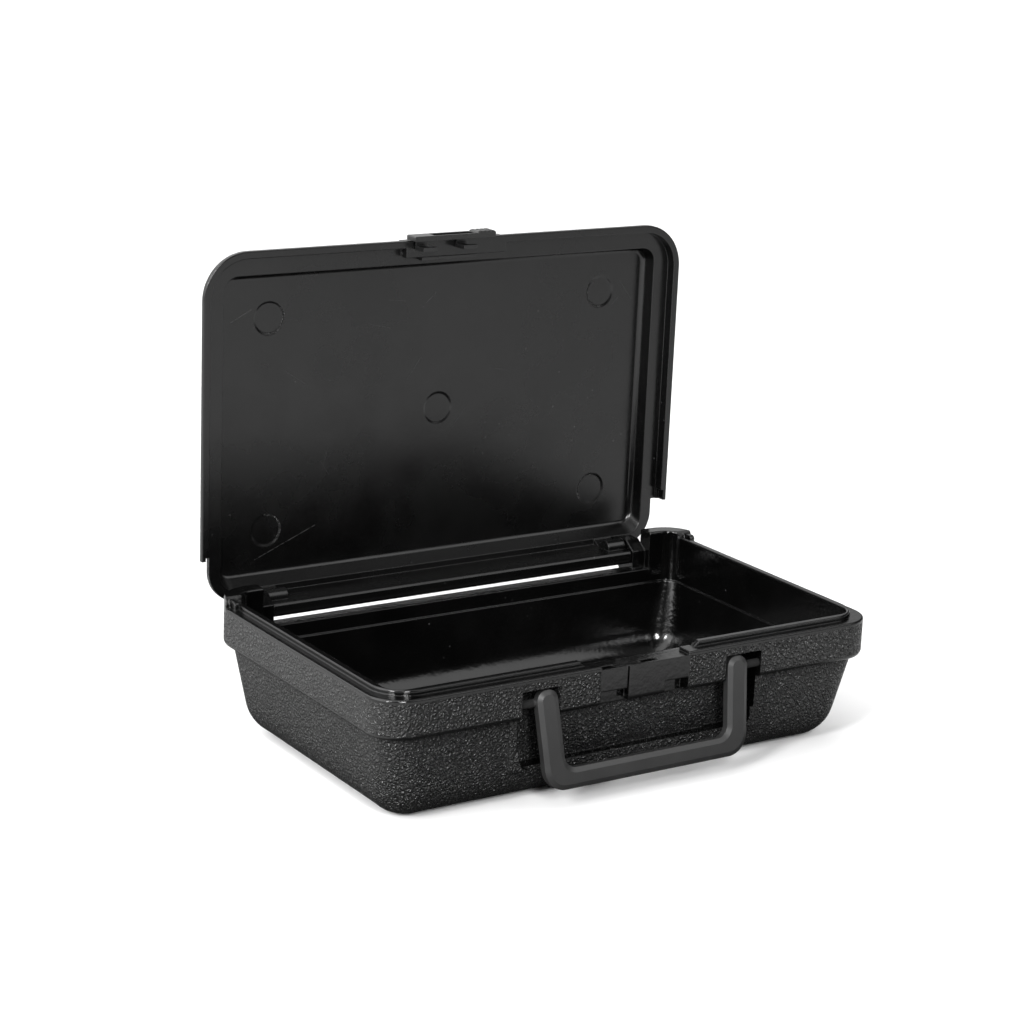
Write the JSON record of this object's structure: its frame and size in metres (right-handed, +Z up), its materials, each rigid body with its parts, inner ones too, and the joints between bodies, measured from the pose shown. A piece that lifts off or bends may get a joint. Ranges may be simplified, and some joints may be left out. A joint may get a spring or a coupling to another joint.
{
  "type": "carry case",
  "caption": "Small moulded plastic carry case with a lid on hinge pins, a sliding front latch and a swinging carry handle set into the front wall.",
  "frame": {"origin": "centre of the band's outline, on the plane that the case stands on", "axes": "+X along the front to the right, +Y towards the hinge side, +Z up"},
  "size_m": [0.23, 0.1655, 0.1932],
  "materials": {
    "base_plastic": "black polypropylene, pebble grain outside, satin inside",
    "lid_plastic": "black polypropylene, satin inside with fine scratches",
    "latch_plastic": "black plastic, satin, smooth",
    "handle_plastic": "black plastic, satin, smooth with bevelled edges",
    "pin_steel": "plain drawn steel"
  },
  "bodies": {
    "base": {"base_shell": "base_plastic", "left_hinge_pin": "pin_steel", "right_hinge_pin": "pin_steel"},
    "lid": {"lid_shell": "lid_plastic"},
    "latch": {"slide_latch": "latch_plastic"},
    "handle": {"carry_handle": "handle_plastic"}
  },
  "joints": [
    {"name": "lid_hinge", "type": "hinge", "parent": "base", "child": "lid", "pos_m": [0, 0.0733, 0.0484], "axis": [1, 0, 0], "range_deg": [0, 90]},
    {"name": "latch_slide", "type": "slide", "parent": "lid", "child": "latch", "axis": [1, 0, 0], "range_m": [0, 0.0034]},
    {"name": "handle_swing", "type": "hinge", "parent": "base", "child": "handle", "pos_m": [0, -0.066, 0.042], "axis": [-1, 0, 0], "range_deg": [-9, 110]}
  ]
}
